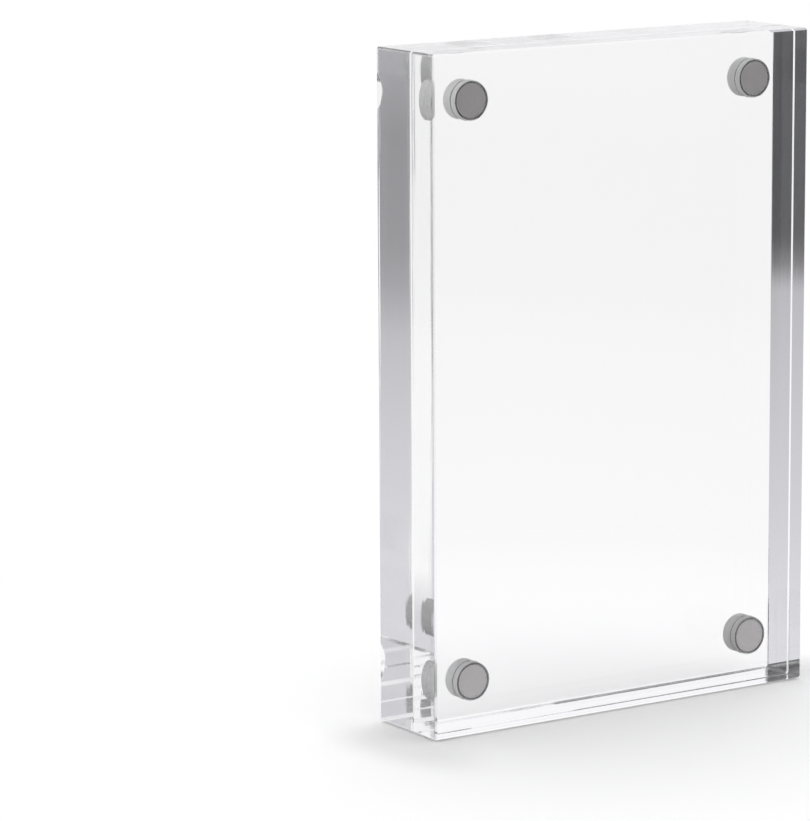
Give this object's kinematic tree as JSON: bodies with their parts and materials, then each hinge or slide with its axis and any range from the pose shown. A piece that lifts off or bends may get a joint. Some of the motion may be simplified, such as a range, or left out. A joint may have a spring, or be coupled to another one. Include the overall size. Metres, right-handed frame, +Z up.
{
  "type": "acrylic magnetic photo frame",
  "caption": "Desktop photo frame: a thick clear acrylic front block lifts straight off a clear rear block, held by disc magnets at the corners, so a print is clamped between them.",
  "frame": {"origin": "middle of the base on which the frame stands", "axes": "+Z up, +X to the right of someone facing the front, -Y out of the front face"},
  "size_m": [0.104, 0.023, 0.154],
  "materials": {
    "clear_acrylic": "clear cast acrylic, flame and buff polished, with fine buffing lines on the narrow faces",
    "nickel_plating": "satin nickel plating on a sintered disc magnet, with a small bright rim",
    "clear_glue": "set clear glue, hazy where it wets the drilled bore wall"
  },
  "bodies": {
    "rear_half": {"rear_block": "clear_acrylic", "rear_magnet_top_left": "nickel_plating", "rear_magnet_top_right": "nickel_plating", "rear_magnet_bottom_left": "nickel_plating", "rear_magnet_bottom_right": "nickel_plating", "rear_glue_top_left": "clear_glue", "rear_glue_top_right": "clear_glue", "rear_glue_bottom_left": "clear_glue", "rear_glue_bottom_right": "clear_glue"},
    "front_half": {"front_block": "clear_acrylic", "front_magnet_top_left": "nickel_plating", "front_magnet_top_right": "nickel_plating", "front_magnet_bottom_left": "nickel_plating", "front_magnet_bottom_right": "nickel_plating", "front_glue_top_left": "clear_glue", "front_glue_top_right": "clear_glue", "front_glue_bottom_left": "clear_glue", "front_glue_bottom_right": "clear_glue"}
  },
  "joints": [
    {"name": "front_pull", "type": "slide", "parent": "rear_half", "child": "front_half", "axis": [0, -1, 0], "range_m": [0, 0.06]}
  ]
}
